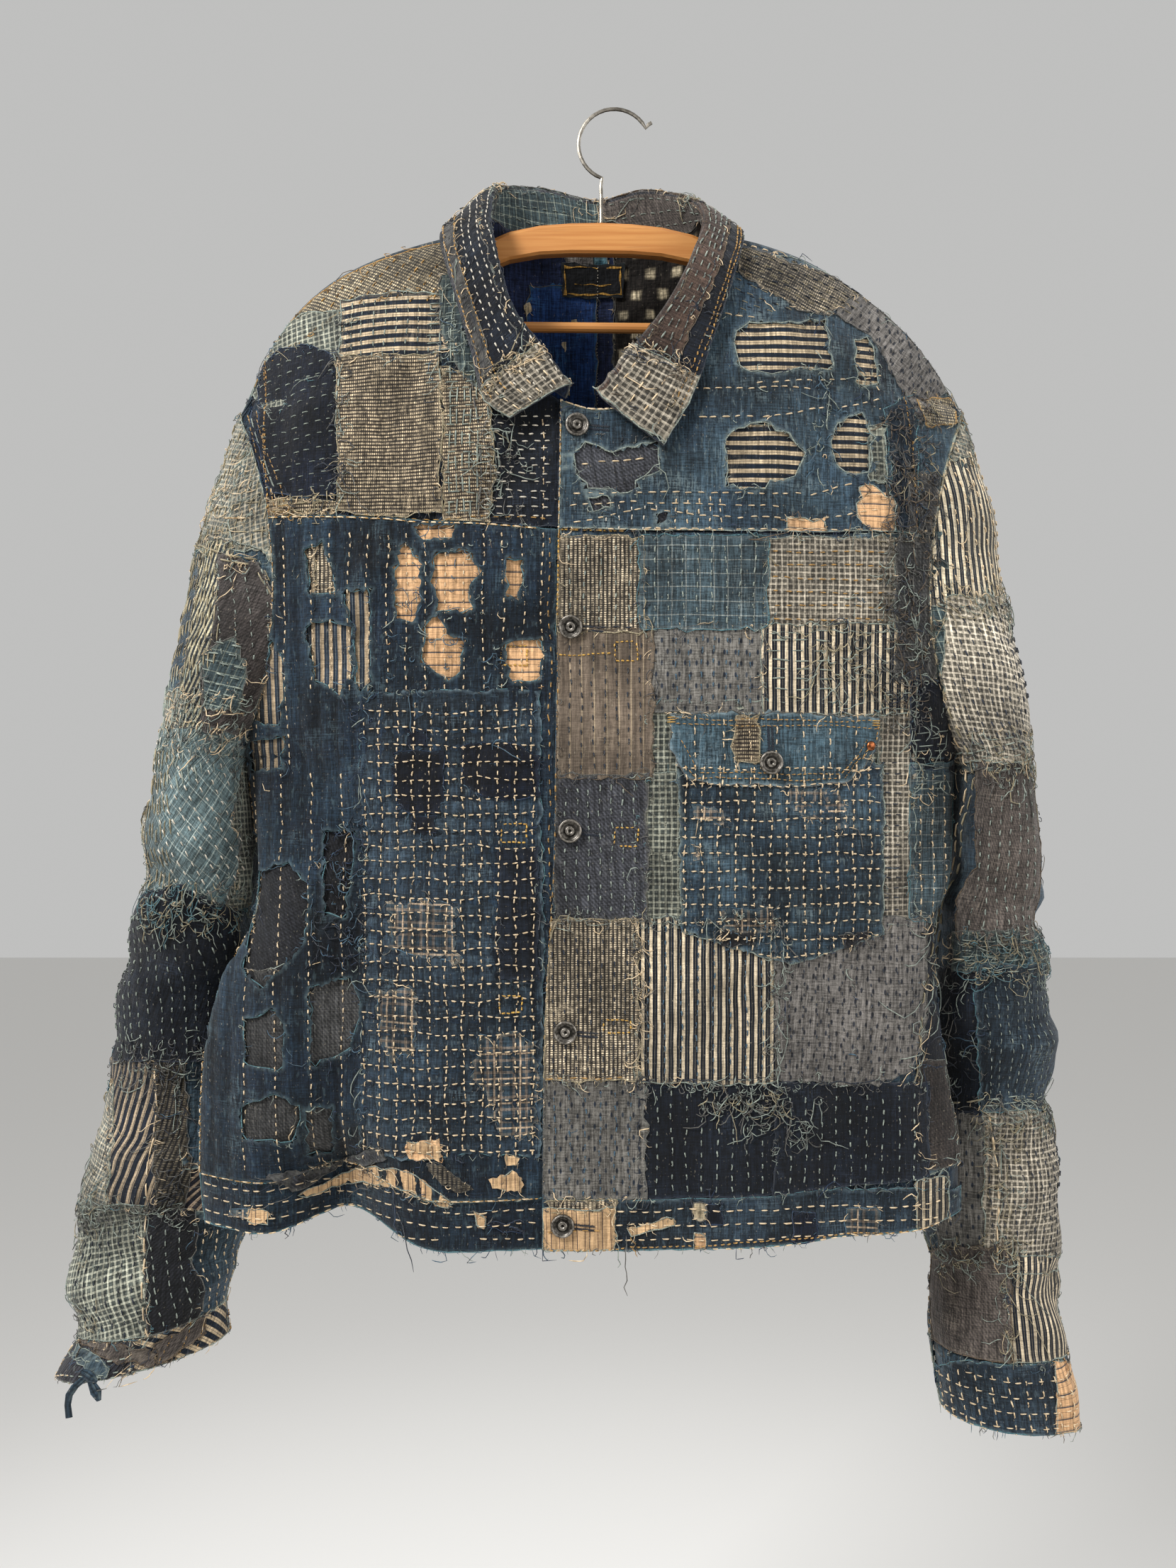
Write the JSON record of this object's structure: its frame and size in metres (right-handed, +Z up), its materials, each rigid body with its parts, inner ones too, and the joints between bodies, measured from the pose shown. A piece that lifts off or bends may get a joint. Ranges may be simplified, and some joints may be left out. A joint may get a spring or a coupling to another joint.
{
  "type": "patched work jacket on a wooden hanger",
  "caption": "Hip-length patched boro jacket with a turned-down collar, chest pocket and running stitches, hanging buttoned up on a beech hanger with a metal hook.",
  "frame": {"origin": "inside the top of the hanger's hook, where it is held", "axes": "+Z up; -Y is the garment's front; +X is the wearer's left"},
  "size_m": [0.7934, 0.187, 1.0109],
  "materials": {
    "indigo_denim": "worn indigo cotton with running stitches",
    "faded_denim": "faded blue cotton",
    "black_denim": "black cotton with white stitches",
    "grey_twill": "grey and brown patched cotton",
    "tweed": "fine ribbed brown and cream weave",
    "blue_lining": "thin blue cotton",
    "label_black": "plain woven black label",
    "pewter": "dull grey metal",
    "copper": "satin copper",
    "beech": "light oiled beech",
    "nickel": "satin nickel"
  },
  "bodies": {
    "root": {"back_panel": "indigo_denim", "back_yoke": "indigo_denim", "button_1": "pewter", "button_2": "pewter", "button_3": "pewter", "button_4": "pewter", "button_5": "pewter", "button_flap": "pewter", "chest_pocket": "indigo_denim", "collar": "grey_twill", "cuff_left": "indigo_denim", "cuff_right": "black_denim", "cuff_tie": "faded_denim", "front_left": "faded_denim", "front_right": "indigo_denim", "front_yoke_left": "faded_denim", "front_yoke_right": "black_denim", "hanger_bar": "beech", "hanger_hook": "nickel", "hanger_wood": "beech", "hem_band_back": "indigo_denim", "hem_band_front_left": "indigo_denim", "hem_band_front_right": "indigo_denim", "lining_left": "blue_lining", "lining_right": "blue_lining", "neck_label": "label_black", "placket_left": "tweed", "pocket_flap": "indigo_denim", "rivet": "copper", "sashiko_patch": "indigo_denim", "sleeve_left": "grey_twill", "sleeve_right": "grey_twill", "welt_strip": "black_denim"}
  },
  "joints": []
}
